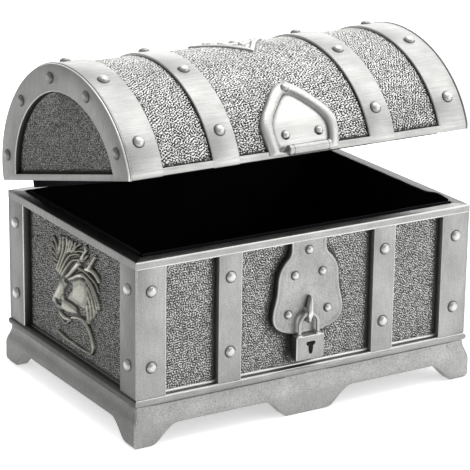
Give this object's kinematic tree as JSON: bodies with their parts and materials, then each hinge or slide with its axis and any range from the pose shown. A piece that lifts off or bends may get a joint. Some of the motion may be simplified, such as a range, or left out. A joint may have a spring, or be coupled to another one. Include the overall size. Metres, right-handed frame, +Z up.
{
  "type": "jewelry box",
  "caption": "Cast metal jewelry box shaped as a treasure chest, with a hinged barrel lid, rivet heads, lion head panels, bracket feet and a hanging padlock.",
  "frame": {"origin": "centre of the bounding box's footprint, on the plane that the feet stand on", "axes": "+X along the length to the right as the lock is seen, -Y to the front with the lock, +Z up"},
  "size_m": [0.1236, 0.096, 0.1079],
  "materials": {
    "pewter": "antique pewter: satin raised edges, dark patina in the pebbled sunk panels",
    "steel_pin": "plain drawn steel",
    "black_velvet": "black velvet over card",
    "black_felt": "black felt"
  },
  "bodies": {
    "base": {"wall_front": "pewter", "wall_back": "pewter", "wall_left": "pewter", "wall_right": "pewter", "plinth": "pewter", "floor_plate": "pewter", "underside_felt": "black_felt", "lining_front": "black_velvet", "lining_back": "black_velvet", "lining_left": "black_velvet", "lining_right": "black_velvet", "floor_cushion": "black_velvet", "lock_plate": "pewter", "staple": "pewter", "lion_head_left": "pewter", "lion_head_right": "pewter", "hinge_base_left": "pewter", "hinge_base_right": "pewter", "hinge_pin_left": "steel_pin", "hinge_pin_right": "steel_pin"},
    "lid": {"lid_barrel": "pewter", "lid_end_left": "pewter", "lid_end_right": "pewter", "hasp_plate": "pewter", "hasp_pin": "steel_pin", "lid_ornament": "pewter", "lid_lining_vault": "black_velvet", "lid_lining_end_left": "black_velvet", "lid_lining_end_right": "black_velvet", "lid_lining_frame": "black_velvet", "hinge_lid_left": "pewter", "hinge_lid_right": "pewter"},
    "padlock": {"padlock_case": "pewter", "padlock_shackle": "pewter"}
  },
  "joints": [
    {"name": "lid_hinge", "type": "hinge", "parent": "base", "child": "lid", "pos_m": [0, 0.046, 0.0596], "axis": [-1, 0, 0], "range_deg": [-14.25, 80.75]},
    {"name": "padlock_swing", "type": "hinge", "parent": "base", "child": "padlock", "pos_m": [-0.0011, -0.0464, 0.0328], "axis": [-1, 0, 0], "range_deg": [0, 90]}
  ]
}
